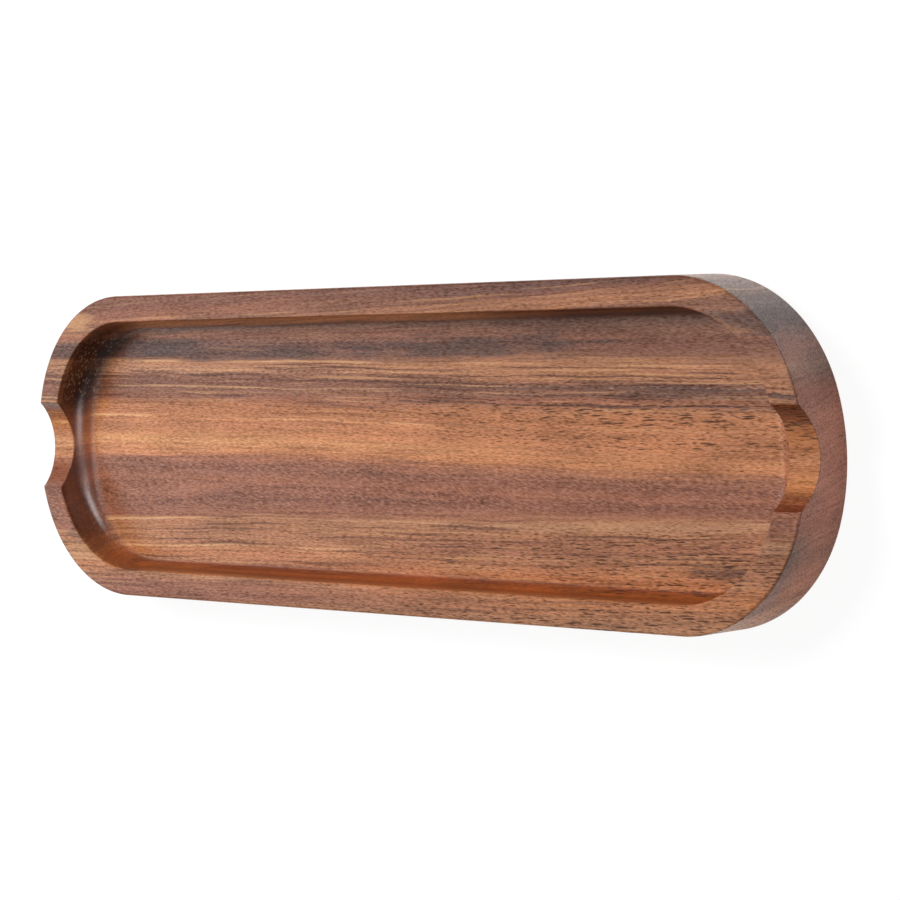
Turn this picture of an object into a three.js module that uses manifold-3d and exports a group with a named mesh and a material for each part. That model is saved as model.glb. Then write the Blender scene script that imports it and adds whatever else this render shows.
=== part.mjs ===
// Wooden spoon rest: one routed board with a shallow pocket and a handle notch through each end,
// on four soft bumper feet. Millimetres, +Z up, the length along X, the feet standing on z = 0.
import * as THREE from 'three';
import { mergeVertices } from 'three/addons/utils/BufferGeometryUtils.js';
import Module from 'manifold-3d';

// Board
const trayLength = 270;
const trayWidth = 80;
const trayThickness = 15;
const endBow = 20; // how far the end arc stands out from its chord across the full width
const cornerRadius = 36;
const edgeEase = 0.6; // rounding along the outer top and bottom edges

// Pocket
const sideRim = 7;
const endRim = 8;
const pocketEndBow = 9;
const pocketCornerRadius = 29;
const floorThickness = 5.4;
const sideCove = 2.8; // radius of the hollow between a long wall and the floor
const endCove = 7; // radius of the hollow at the ends
const floorEndBow = 15; // the floor's ends bow more than the pocket's mouth
const floorCornerRadius = 20; // and its corners are tighter
const lipChamfer = 0.4; // broken edge between the rim and the pocket's wall

// Handle notches
const notchRadius = 15;
const notchDepth = 5.5;

// Bumper feet
const footDiameter = 10;
const footHeight = 1.5;
const footRound = 0.9; // rounding of the edge that stands on the table
const footEndInset = 43; // from the tray's end to the middle of a foot
const footSideInset = 16; // from the tray's side to the middle of a foot

// Smoothness of the curves
const arcStep = THREE.MathUtils.degToRad(5.25); // turn of the outline from point to point
const easeSteps = 2;
const coveSteps = 10;
const notchSides = 96;
const footSides = 32;
const footRoundSteps = 4;

// Allowances for cutting
const leastStraight = 0.5; // what a rounding always leaves of the wall that it rounds
const overcut = 4; // how far a cutter runs past the face that it opens
const lipOverlap = 0.2; // how far the lip's cutter starts inside the pocket
const weldTolerance = 1e-4;

const boardBottom = footHeight;
const boardTop = boardBottom + trayThickness;
const pocketDepth = trayThickness - floorThickness;

const wasm = await Module();
wasm.setup();

function toSolid(geometry) {
  const bare = geometry.clone();
  bare.deleteAttribute('normal');
  bare.deleteAttribute('uv');
  const welded = mergeVertices(bare, weldTolerance);
  return new wasm.Manifold(new wasm.Mesh({
    numProp: 3,
    vertProperties: new Float32Array(welded.attributes.position.array),
    triVerts: new Uint32Array(welded.index.array),
  }));
}

function toGeometry(solid) {
  const mesh = solid.getMesh();
  const geometry = new THREE.BufferGeometry();
  geometry.setAttribute('position', new THREE.BufferAttribute(mesh.vertProperties, 3));
  geometry.setIndex(new THREE.BufferAttribute(mesh.triVerts, 1));
  geometry.computeVertexNormals();
  return geometry;
}

// A rectangle whose short ends bow outwards on a wide arc, with corners rounded into that arc.
function bowedRectangle(length, width, bow, radius) {
  const half = width / 2;
  const corner = Math.min(radius, half - leastStraight);
  const endRadius = (half * half + bow * bow) / (2 * bow);
  const endCentre = length / 2 - endRadius;
  const cornerY = half - corner;
  const cornerX = endCentre + Math.sqrt((endRadius - corner) ** 2 - cornerY ** 2);
  const meet = Math.atan2(cornerY, cornerX - endCentre);
  const right = Math.PI / 2;
  const arcs = [
    [cornerX, -cornerY, corner, -right, -meet],
    [endCentre, 0, endRadius, -meet, meet],
    [cornerX, cornerY, corner, meet, right],
    [-cornerX, cornerY, corner, right, 2 * right - meet],
    [-endCentre, 0, endRadius, 2 * right - meet, 2 * right + meet],
    [-cornerX, -cornerY, corner, 2 * right + meet, 3 * right],
  ];
  const points = arcs.flatMap(([x, y, arcRadius, from, to]) => {
    const steps = Math.ceil((to - from) / arcStep);
    return new THREE.ArcCurve(x, y, arcRadius, from, to).getPoints(steps);
  });
  const apart = points.filter((point, i) => {
    const next = points[(i + 1) % points.length];
    return point.distanceTo(next) > weldTolerance * 10;
  });
  return new THREE.Shape(apart);
}

// An outline raised from its lowest to its highest level, with both edges rounded inside that outline.
function roundedPrism(shape, low, high, rounding, steps) {
  const geometry = new THREE.ExtrudeGeometry(shape, {
    depth: high - low - 2 * rounding,
    bevelThickness: rounding,
    bevelSize: rounding,
    bevelOffset: -rounding,
    bevelSegments: steps,
  });
  geometry.translate(0, 0, low + rounding);
  return toSolid(geometry);
}

// How far a quarter-round hollow stands out from its wall, at a level above the floor.
function hollow(level, radius) {
  const below = Math.max(0, 1 - level / radius);
  return radius * (1 - Math.sqrt(1 - below * below));
}

// What the router takes out of the board: a flat floor, a hollow foot and an upright wall.
// It is bulging all round, so it is the hull of its outlines at a row of levels.
function pocketCutter(length, width) {
  const floor = boardTop - pocketDepth;
  const endRadius = Math.min(endCove, pocketDepth - lipChamfer - leastStraight / 2);
  const sideRadius = Math.min(sideCove, endRadius);
  const levels = [boardTop + overcut - floor];
  for (let step = 0; step <= coveSteps; step += 1) {
    levels.push(endRadius * (1 - Math.cos((step / coveSteps) * Math.PI / 2)));
  }
  const corners = levels.flatMap((level) => {
    const atEnd = hollow(level, endRadius);
    const atSide = hollow(level, sideRadius);
    const reached = atEnd / endRadius;
    const bow = THREE.MathUtils.lerp(pocketEndBow, floorEndBow, reached);
    const radius = THREE.MathUtils.lerp(pocketCornerRadius, floorCornerRadius, reached);
    const shape = bowedRectangle(length - 2 * atEnd, width - 2 * atSide, bow, radius);
    return shape.getPoints().map((point) => [point.x, point.y, floor + level]);
  });
  return wasm.Manifold.hull(corners);
}

// What breaks the sharp edge round the pocket's mouth.
function lipCutter(shape) {
  const flare = lipChamfer + lipOverlap;
  const geometry = new THREE.ExtrudeGeometry(shape, {
    depth: overcut,
    bevelThickness: flare,
    bevelSize: flare,
    bevelOffset: -lipOverlap,
    bevelSegments: 1,
  });
  geometry.translate(0, 0, boardTop);
  return toSolid(geometry);
}

// A round bar along X that cuts the notch through the rim at one end, 1 for near and -1 for far.
function notchCutter(end) {
  const barLength = endRim + 2 * notchRadius;
  const geometry = new THREE.CylinderGeometry(notchRadius, notchRadius, barLength, notchSides);
  geometry.rotateZ(Math.PI / 2);
  geometry.translate(end * (trayLength - endRim) / 2, 0, boardTop + notchRadius - notchDepth);
  return toSolid(geometry);
}

function trayBody() {
  const outline = bowedRectangle(trayLength, trayWidth, endBow, cornerRadius);
  const pocketLength = trayLength - 2 * endRim;
  const pocketWidth = trayWidth - 2 * sideRim;
  const pocket = bowedRectangle(pocketLength, pocketWidth, pocketEndBow, pocketCornerRadius);
  const board = roundedPrism(outline, boardBottom, boardTop, edgeEase, easeSteps);
  const routed = board.subtract(pocketCutter(pocketLength, pocketWidth)).subtract(lipCutter(pocket));
  const notched = routed.subtract(notchCutter(1)).subtract(notchCutter(-1));
  const wood = new THREE.MeshStandardMaterial({ color: 0x9a6644, roughness: 0.5, metalness: 0 });
  const mesh = new THREE.Mesh(toGeometry(notched), wood);
  mesh.name = 'tray_body';
  return mesh;
}

// A low round bumper: a flat top that sticks to the board and a rounded edge on the table.
function bumperFoot(name, x, y) {
  const radius = footDiameter / 2;
  const rounding = Math.min(footRound, footHeight - leastStraight);
  const profile = new THREE.Path();
  profile.moveTo(0, 0);
  profile.lineTo(radius - rounding, 0);
  profile.absarc(radius - rounding, rounding, rounding, -Math.PI / 2, 0);
  profile.lineTo(radius, footHeight);
  profile.lineTo(0, footHeight);
  const geometry = new THREE.LatheGeometry(profile.getPoints(footRoundSteps), footSides);
  geometry.rotateX(Math.PI / 2);
  const rubber = new THREE.MeshStandardMaterial({ color: 0x2e2723, roughness: 0.8, metalness: 0 });
  const mesh = new THREE.Mesh(geometry, rubber);
  mesh.name = name;
  mesh.position.set(x, y, 0);
  return mesh;
}

const spoonRest = new THREE.Group();
spoonRest.add(trayBody());
for (const [end, along] of [['near', 1], ['far', -1]]) {
  for (const [side, across] of [['left', -1], ['right', 1]]) {
    const x = along * (trayLength / 2 - footEndInset);
    const y = across * (trayWidth / 2 - footSideInset);
    spoonRest.add(bumperFoot(`foot_${end}_${side}`, x, y));
  }
}

export default spoonRest;
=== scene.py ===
# %% [markdown]
# # A wooden spoon rest, dressed in Blender
#
# The object is one board of striped hardwood. A router has cut a shallow pocket into it, with a hollow
# curve between wall and floor, and a round notch through the rim at each end for a spoon's handle. It
# stands on four soft bumper feet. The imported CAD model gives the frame: every piece below is made in
# metres in that frame.

# %% Load the frame
import math
from types import SimpleNamespace

import bpy
from mathutils import Matrix, Vector


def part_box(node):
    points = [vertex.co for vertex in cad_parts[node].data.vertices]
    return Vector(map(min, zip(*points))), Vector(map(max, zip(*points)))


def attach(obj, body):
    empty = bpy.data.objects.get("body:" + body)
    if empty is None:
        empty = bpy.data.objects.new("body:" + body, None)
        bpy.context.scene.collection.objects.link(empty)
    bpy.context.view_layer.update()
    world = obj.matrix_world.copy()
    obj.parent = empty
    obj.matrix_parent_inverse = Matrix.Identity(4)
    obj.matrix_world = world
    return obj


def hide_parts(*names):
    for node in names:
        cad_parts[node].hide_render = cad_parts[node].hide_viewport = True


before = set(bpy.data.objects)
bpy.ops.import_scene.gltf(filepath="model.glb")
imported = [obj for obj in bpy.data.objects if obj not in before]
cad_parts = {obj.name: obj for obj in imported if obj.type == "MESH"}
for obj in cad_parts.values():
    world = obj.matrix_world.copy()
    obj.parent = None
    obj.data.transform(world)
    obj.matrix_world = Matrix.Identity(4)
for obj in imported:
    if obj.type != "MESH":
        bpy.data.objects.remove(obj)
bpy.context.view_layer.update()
MM = 0.001
BODY = "root"
scene = bpy.context.scene
print("CAD nodes:", sorted(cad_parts))

# %% [markdown]
# ## Arithmetic in node trees
#
# Both the shape of the tray and the figure of its wood follow formulas, and a formula in nodes is a
# long chain of Math nodes. A small class hides the chain: a `Term` is one number in a tree, and adding
# or multiplying two terms adds the Math node that does it. The code then reads like the formula itself.

# %% Nodes and terms
def feed(tree, socket, value):
    """Gives a socket a number, a colour, another socket or a term."""
    if isinstance(value, Term):
        value = value.socket
    if isinstance(value, bpy.types.NodeSocket):
        tree.links.new(value, socket)
    else:
        socket.default_value = value


def make(tree, kind, inputs=None, **settings):
    """Adds a node, sets its options, then feeds the inputs that are named or numbered."""
    node = tree.nodes.new(kind)
    for name, value in settings.items():
        setattr(node, name, value)
    for key, value in (inputs or {}).items():
        feed(tree, node.inputs[key], value)
    return node


class Term:
    """One number in a node tree."""

    def __init__(self, tree, socket):
        self.tree = tree
        self.socket = socket

    def math(self, operation, *others):
        node = make(self.tree, "ShaderNodeMath", operation=operation)
        for socket, value in zip(node.inputs, (self, *others)):
            feed(self.tree, socket, value)
        return Term(self.tree, node.outputs[0])

    def __add__(self, other):
        return self.math("ADD", other)

    def __sub__(self, other):
        return self.math("SUBTRACT", other)

    def __mul__(self, other):
        return self.math("MULTIPLY", other)

    def __truediv__(self, other):
        return self.math("DIVIDE", other)

    def __rsub__(self, other):
        return self * -1.0 + other

    __radd__ = __add__
    __rmul__ = __mul__

    def held(self, low, high):
        """Kept between low and high."""
        return self.math("MAXIMUM", low).math("MINIMUM", high)

    def mix(self, other, share):
        """This term where share is 0 and the other where it is 1."""
        return self + (other - self) * share

    def smooth(self, low, high):
        """Rises softly from 0 at low to 1 at high."""
        inputs = {"Value": self, "From Min": low, "From Max": high}
        node = make(self.tree, "ShaderNodeMapRange", inputs, interpolation_type="SMOOTHSTEP")
        return Term(self.tree, node.outputs["Result"])

    def fade(self, low, high):
        """Falls softly from 1 at low to 0 at high."""
        return 1.0 - self.smooth(low, high)


def parts(tree, vector):
    """The three numbers of a vector, as terms."""
    split = make(tree, "ShaderNodeSeparateXYZ", {0: vector})
    return [Term(tree, split.outputs[i]) for i in range(3)]


# %% [markdown]
# ## From a tree to a piece
#
# A geometry tree is a recipe with named inputs, so the same tree can make a longer tray or a smaller
# foot. `grow` hangs the tree on an empty object, sets each input by its identifier, lets Blender run
# the tree and the modifiers after it, and keeps the result as a plain mesh.

# %% Named inputs and grown pieces
def open_inputs(tree, floats=(), whole=(), others=()):
    """Declares a tree's named inputs and returns them by name, numbers as terms."""
    for name in floats:
        tree.interface.new_socket(name, in_out="INPUT", socket_type="NodeSocketFloat")
    for name in whole:
        tree.interface.new_socket(name, in_out="INPUT", socket_type="NodeSocketInt")
    for name, kind in others:
        tree.interface.new_socket(name, in_out="INPUT", socket_type=kind)
    given = tree.nodes.new("NodeGroupInput")
    named = {name: Term(tree, given.outputs[name]) for name in (*floats, *whole)}
    named.update({name: given.outputs[name] for name, _ in others})
    return named


def close_piece(tree, geometry, material):
    """Ends a geometry tree: instances become real, and the material goes on."""
    real = make(tree, "GeometryNodeRealizeInstances", {"Geometry": geometry})
    inputs = {"Geometry": real.outputs[0], "Material": material}
    dressed = make(tree, "GeometryNodeSetMaterial", inputs)
    tree.interface.new_socket("Geometry", in_out="OUTPUT", socket_type="NodeSocketGeometry")
    make(tree, "NodeGroupOutput", {"Geometry": dressed.outputs[0]})
    return tree


def grow(name, tree, values, finishers=()):
    """Runs a geometry tree with the given input values and returns its result as a plain mesh object."""
    holder = bpy.data.objects.new(name + "_tree", bpy.data.meshes.new(name + "_seed"))
    scene.collection.objects.link(holder)
    modifier = holder.modifiers.new("Tree", "NODES")
    modifier.node_group = tree
    for item in tree.interface.items_tree:
        if item.in_out == "INPUT" and item.name in values:
            modifier[item.identifier] = values[item.name]
    for kind, settings in finishers:
        finisher = holder.modifiers.new(kind.title(), kind)
        for key, value in settings.items():
            setattr(finisher, key, value)
    depsgraph = bpy.context.evaluated_depsgraph_get()
    mesh = bpy.data.meshes.new_from_object(holder.evaluated_get(depsgraph), depsgraph=depsgraph)
    mesh.name = name
    bpy.data.objects.remove(holder)
    piece = bpy.data.objects.new(name, mesh)
    scene.collection.objects.link(piece)
    triangles = sum(len(face.vertices) - 2 for face in mesh.polygons)
    print(name, "has", len(mesh.vertices), "points and", triangles, "triangles")
    return piece


# %% [markdown]
# ## The camera
#
# The photograph looks down along the tray from above its near end, which lies to the right of the
# picture. The long sides are parallel on the real thing and only draw together with distance, so the
# camera stands close enough for that. The tray lies across the picture, so the camera is turned on its
# side.

# %% Camera
CAMERA_RISE = math.radians(44.139)
CAMERA_SWING = math.radians(4.104)
CAMERA_ROLL = math.radians(-4.863)
CAMERA_DISTANCE = 742.46 * MM
CAMERA_LENS = 121.53
SENSOR = 36.0
AIM_X = 12.02 * MM
AIM_Y = -0.56 * MM

board_low, board_high = (Vector(corner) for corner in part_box("tray_body"))


def place_camera():
    data = bpy.data.cameras.new("photo_view")
    data.lens = CAMERA_LENS
    data.sensor_width = SENSOR
    camera = bpy.data.objects.new("photo_view", data)
    scene.collection.objects.link(camera)
    level = Vector((math.cos(CAMERA_SWING), math.sin(CAMERA_SWING), 0.0))
    back = level * math.cos(CAMERA_RISE) + Vector((0.0, 0.0, math.sin(CAMERA_RISE)))
    right = (level - back * level.dot(back)).normalized()
    up = back.cross(right)
    turned_right = right * math.cos(CAMERA_ROLL) + up * math.sin(CAMERA_ROLL)
    turned_up = up * math.cos(CAMERA_ROLL) - right * math.sin(CAMERA_ROLL)
    spot = Vector((AIM_X, AIM_Y, board_low.z)) + back * CAMERA_DISTANCE
    columns = Matrix((turned_right, turned_up, back)).transposed()
    camera.matrix_world = Matrix.Translation(spot) @ columns.to_4x4()
    scene.camera = camera
    print("camera at", [round(value, 3) for value in spot])


place_camera()

# %% [markdown]
# ## The ground
#
# The photograph has a white ground with a soft shadow. Lamps alone could only make the sheet that white
# with too much light for the wood, so the sheet glows as well. For the camera most of its brightness is
# glow, and only the small rest takes the lamps' light and with it the tray's shadow. For all other rays
# it glows less, and throws soft light up at the walls as a bright table does.

# %% White floor
FLOOR_REACH = 3.0
FLOOR_WHITE = (0.9, 0.9, 0.9, 1.0)
BLACK = (0.0, 0.0, 0.0, 1.0)
FLOOR_GLOW_SHARE = 0.88
FLOOR_GLOW_FOR_EYE = 1.06
FLOOR_GLOW_FOR_LIGHT = 0.45


def bare_material(name):
    """A material without nodes, ready to be built."""
    material = bpy.data.materials.new(name)
    material.use_nodes = True
    material.node_tree.nodes.clear()
    return material


def ground_material():
    material = bare_material("White ground")
    tree = material.node_tree
    seen = Term(tree, make(tree, "ShaderNodeLightPath").outputs["Is Camera Ray"])
    sheet = make(tree, "ShaderNodeBsdfDiffuse", {"Color": FLOOR_WHITE})
    unlit = make(tree, "ShaderNodeBsdfDiffuse", {"Color": BLACK})
    inputs = {0: seen * FLOOR_GLOW_SHARE, 1: sheet.outputs[0], 2: unlit.outputs[0]}
    lit = make(tree, "ShaderNodeMixShader", inputs)
    more_for_eye = FLOOR_GLOW_FOR_EYE * FLOOR_GLOW_SHARE - FLOOR_GLOW_FOR_LIGHT
    glow = make(tree, "ShaderNodeEmission", {"Strength": seen * more_for_eye + FLOOR_GLOW_FOR_LIGHT})
    both = make(tree, "ShaderNodeAddShader", {0: lit.outputs[0], 1: glow.outputs[0]})
    make(tree, "ShaderNodeOutputMaterial", {"Surface": both.outputs[0]})
    return material


def white_floor():
    mesh = bpy.data.meshes.new("floor")
    reach = FLOOR_REACH
    corners = [(-reach, -reach, 0.0), (reach, -reach, 0.0), (reach, reach, 0.0), (-reach, reach, 0.0)]
    mesh.from_pydata(corners, [], [(0, 1, 2, 3)])
    mesh.materials.append(ground_material())
    floor = bpy.data.objects.new("floor", mesh)
    scene.collection.objects.link(floor)
    print("white floor,", reach * 2.0, "m wide")


white_floor()

# %% [markdown]
# ## The sky
#
# Everything behind the floor is white too. The sky is white for the camera, dim where it lights the wood
# and nearly dark in the oil's mirror, so that of all the light only the lamps shine in it.

# %% White sky
WHITE = (1.0, 1.0, 1.0, 1.0)
SKY_FOR_LIGHT = 0.24
SKY_FOR_MIRRORS = 0.05
SKY_FOR_EYE = 1.0


def white_sky():
    world = bpy.data.worlds.new("white_sky")
    scene.world = world
    world.use_nodes = True
    tree = world.node_tree
    tree.nodes.clear()
    ray = make(tree, "ShaderNodeLightPath")
    seen = Term(tree, ray.outputs["Is Camera Ray"])
    mirrored = Term(tree, ray.outputs["Is Glossy Ray"])
    lit = mirrored * (SKY_FOR_MIRRORS - SKY_FOR_LIGHT) + SKY_FOR_LIGHT
    strength = seen * (SKY_FOR_EYE - SKY_FOR_LIGHT) + lit
    sky = make(tree, "ShaderNodeBackground", {"Color": WHITE, "Strength": strength})
    make(tree, "ShaderNodeOutputWorld", {"Surface": sky.outputs[0]})
    print("sky lights with", SKY_FOR_LIGHT, "and is mirrored with", SKY_FOR_MIRRORS)


white_sky()
scene.view_settings.view_transform = "Standard"

# %% [markdown]
# ## The lamps
#
# The light is soft and comes from above, more of it from the side at the top of the picture. Two
# softboxes light the wood. Three more lamps are only mirrored: they give the rim and the floor their
# satin sheen and the hollow its highlights, as white cards do in a studio, and put no other light on
# the wood.

# %% Lamps
# Each lamp: where its middle is, how wide and deep it is, its power in watts, whether it lights the wood
# and whether the oil mirrors it.
LAMPS = {
    "key_softbox": ((-0.42, 0.40, 0.85), (0.40, 0.40), 8.8, True, False),
    "far_softbox": ((-1.20, 0.00, 0.78), (0.90, 0.60), 2.4, True, True),
    "overhead_strip": ((-0.36, 0.00, 0.82), (0.20, 0.40), 0.42, False, True),
    "camera_side_strip": ((0.30, 0.42, 0.62), (0.46, 0.46), 1.7, False, True),
    "camera_spot": ((0.55, -0.19, 0.57), (0.26, 0.28), 0.65, False, True),
}


def hang_lamps():
    for name, (spot, size, power, lights, mirrored) in LAMPS.items():
        data = bpy.data.lights.new(name, "AREA")
        data.shape = "RECTANGLE"
        data.size, data.size_y = size
        data.energy = power
        lamp = bpy.data.objects.new(name, data)
        lamp.location = spot
        lamp.rotation_euler = Vector(spot).to_track_quat("Z", "Y").to_euler()
        lamp.visible_diffuse = lights
        lamp.visible_glossy = mirrored
        scene.collection.objects.link(lamp)
    print("lamps:", ", ".join(LAMPS))


hang_lamps()

# %% [markdown]
# ## The shape of the board
#
# Seen from above, the board is a rectangle whose ends bow out on a wide arc, with corners rounded into
# that arc. The board's own box comes from the frame. All other sizes are written here in millimetres.

# %% Sizes of the tray
BOARD_BOTTOM = board_low.z
BOARD_TOP = board_high.z
FLOOR_THICKNESS = 5.4 * MM
POCKET_FLOOR = BOARD_BOTTOM + FLOOR_THICKNESS
NOTCH_RADIUS = 15.0 * MM
TRAY_LENGTHS = {
    "Half Length": board_high.x,
    "Half Width": board_high.y,
    "End Bow": 20.0 * MM,
    "Corner Radius": 36.0 * MM,
    "Side Rim": 7.0 * MM,
    "End Rim": 8.0 * MM,
    "Pocket End Bow": 9.0 * MM,
    "Pocket Corner Radius": 29.0 * MM,
    "Floor End Bow": 15.0 * MM,
    "Floor Corner Radius": 20.0 * MM,
    "Bottom": BOARD_BOTTOM,
    "Top": BOARD_TOP,
    "Floor": POCKET_FLOOR,
    "Side Cove": 2.8 * MM,
    "End Cove": 7.0 * MM,
    "Edge Ease": 0.6 * MM,
    "Lip Ease": 0.4 * MM,
    "Notch Radius": NOTCH_RADIUS,
    "Notch Depth": 5.5 * MM,
}
print("board", [round(side / MM, 2) for side in board_high - board_low], "mm")

# %% [markdown]
# ## One rule for every outline
#
# One rule gives every point of such an outline from the direction in which its edge faces there, and a
# smaller corner radius moves the whole outline inwards. So one node group draws the board's edge, the
# pocket's edge and every line in between. An outline that is moved in by a little more than its corner
# radius closes on the board's middle line, and this ends the skin below and on the pocket's floor.

# %% Outline rule
PAST_CORNER = 0.1


def outline_tree():
    """X and Y of an outline's point that faces the direction Turn, moved inwards by Inset."""
    tree = bpy.data.node_groups.new("Bowed outline", "GeometryNodeTree")
    names = ("Half Length", "Half Width", "End Bow", "Corner Radius", "Inset", "Turn")
    given = open_inputs(tree, names)
    half_length, half_width, bow, corner, inset, turn = (given[name] for name in names)
    end_radius = (half_width * half_width + bow * bow) / (bow * 2.0)
    end_centre = half_length - end_radius
    reach = end_radius - corner
    corner_y = half_width - corner
    corner_x = (reach * reach - corner_y * corner_y).math("SQRT")
    meet = corner_y.math("ARCTAN2", corner_x)
    facing = turn.math("SINE").math("ARCSINE")
    held = facing.math("MINIMUM", meet).math("MAXIMUM", meet * -1.0)
    end = turn.math("COSINE").math("SIGN")
    radius = (corner - inset).math("MAXIMUM", 0.0)
    open_still = (corner * (1.0 + PAST_CORNER / 2.0)).math("GREATER_THAN", inset)
    x = (end_centre + reach * held.math("COSINE") + radius * facing.math("COSINE")) * end
    y = (reach * held.math("SINE") + radius * facing.math("SINE")) * open_still
    for name in ("X", "Y"):
        tree.interface.new_socket(name, in_out="OUTPUT", socket_type="NodeSocketFloat")
    make(tree, "NodeGroupOutput", {"X": x, "Y": y})
    return tree


def outline_point(tree, rule, outline, inset, turn):
    """X and Y by the rule, for one outline."""
    inputs = {**outline, "Inset": inset, "Turn": turn}
    group = make(tree, "GeometryNodeGroup", inputs, node_tree=rule)
    return Term(tree, group.outputs["X"]), Term(tree, group.outputs["Y"])


# %% [markdown]
# ## Section of the board
#
# A section through the edge of the board is a line with a few corners: across the bottom, up the side
# and over the rim. Fillet Curve rounds the two at the edge, as a round-over bit does on the real board.

# %% Section of the board
EASE_STEPS = 4


def board_section(tree, size):
    """Points from the middle of the underside to the rim: X is the way inwards, Z the height."""
    corner, bottom, top, ease = size["Corner Radius"], size["Bottom"], size["Top"], size["Edge Ease"]
    corners = [
        (corner * (1.0 + PAST_CORNER), bottom, 0.0),
        (corner, bottom, 0.0),
        (0.0, bottom, ease),
        (0.0, top, ease),
        (size["Side Rim"] * 0.5, top, 0.0),
    ]
    number = make(tree, "GeometryNodeInputIndex").outputs[0]
    spot = make(tree, "GeometryNodeIndexSwitch", {0: number}, data_type="VECTOR")
    rounding = make(tree, "GeometryNodeIndexSwitch", {0: number}, data_type="FLOAT")
    for switch in (spot, rounding):
        while len(switch.index_switch_items) < len(corners):
            switch.index_switch_items.new()
    for i, (inwards, height, radius) in enumerate(corners):
        joined = make(tree, "ShaderNodeCombineXYZ", {"X": inwards, "Z": height})
        feed(tree, spot.inputs[i + 1], joined.outputs[0])
        feed(tree, rounding.inputs[i + 1], radius)
    points = make(tree, "GeometryNodePoints", {"Count": len(corners), "Position": spot.outputs[0]})
    line = make(tree, "GeometryNodePointsToCurves", {"Points": points.outputs[0]})
    inputs = {"Curve": line.outputs[0], "Count": EASE_STEPS, "Radius": rounding.outputs[0]}
    rounded = make(tree, "GeometryNodeFilletCurve", inputs, mode="POLY")
    inputs = {"Curve": rounded.outputs[0]}
    return make(tree, "GeometryNodeCurveToPoints", inputs, mode="EVALUATED").outputs[0]


# %% [markdown]
# ## Section of the pocket
#
# Inside, the line goes on over the lip, down the wall, through a hollow that is narrow along the sides
# and wide at the ends, and out over the floor. Its width changes on the way round, so it can't be one
# curve. Each row has a height and an outline of its own instead, which turns from the mouth's outline
# into the floor's.

# %% Section of the pocket
LIP_STEPS = 3
COVE_STEPS = 20
POCKET_ROWS = LIP_STEPS + COVE_STEPS + 4
QUARTER_TURN = math.pi / 2.0
FULL_TURN = 2.0 * math.pi
print("rows from the lip to the middle of the floor:", POCKET_ROWS)


def pocket_section(size, row):
    """The pocket's outline at a row, how far that outline is inset as a whole, and the row's height."""
    lip, floor, side, end = size["Lip Ease"], size["Floor"], size["Side Cove"], size["End Cove"]
    lip_turn = (row / LIP_STEPS).held(0.0, 1.0) * QUARTER_TURN
    cove_turn = ((row - (LIP_STEPS + 1.0)) / COVE_STEPS).held(0.0, 1.0) * QUARTER_TURN
    floor_row = (row - (LIP_STEPS + COVE_STEPS + 1.0)).held(0.0, 2.0)
    below_lip = row.math("GREATER_THAN", LIP_STEPS + 0.5)
    level = end * (1.0 - cove_turn.math("SINE"))
    reached = 1.0 - cove_turn.math("COSINE")
    short = (side - level).math("MAXIMUM", 0.0)
    at_side = side - (side * side - short * short).math("SQRT")
    lip_height = size["Top"] - lip * (1.0 - lip_turn.math("COSINE"))
    height = lip_height + (floor + level - lip_height) * below_lip
    lip_inset = lip * (lip_turn.math("SINE") - 1.0)
    middle = floor_row.math("MINIMUM", 1.0) + floor_row.math("GREATER_THAN", 1.5) * PAST_CORNER
    whole = lip_inset + size["Floor Corner Radius"] * middle
    outline = {
        "Half Length": size["Half Length"] - size["End Rim"] - end * reached,
        "Half Width": size["Half Width"] - size["Side Rim"] - at_side,
        "End Bow": size["Pocket End Bow"].mix(size["Floor End Bow"], reached),
        "Corner Radius": size["Pocket Corner Radius"].mix(size["Floor Corner Radius"], reached),
    }
    return outline, whole, height


# %% [markdown]
# ## One skin from rows and columns
#
# A grid takes one row of points for every step of the section and one column for every direction round
# the outline. The first rows use the board's outline, the rest the pocket's. Where the skin closes,
# points that meet are welded.

# %% Skin
STEPS_AROUND = 480
SKIN_WELD = 0.001 * MM


def weld(tree, mesh, distance):
    inputs = {"Geometry": mesh, "Distance": distance}
    return make(tree, "GeometryNodeMergeByDistance", inputs).outputs[0]


def rows_and_columns(tree, columns):
    """The row and the column that a point of a grid lies in."""
    number = Term(tree, make(tree, "GeometryNodeInputIndex").outputs[0])
    row = ((number + 0.5) / columns).math("FLOOR")
    return row, number - row * columns


def bent_grid(tree, grid, x, y, z):
    """A grid's points moved to new places, and welded where they meet."""
    spot = make(tree, "ShaderNodeCombineXYZ", {"X": x, "Y": y, "Z": z})
    inputs = {"Geometry": grid.outputs["Mesh"], "Position": spot.outputs[0]}
    return weld(tree, make(tree, "GeometryNodeSetPosition", inputs).outputs[0], SKIN_WELD)


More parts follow.
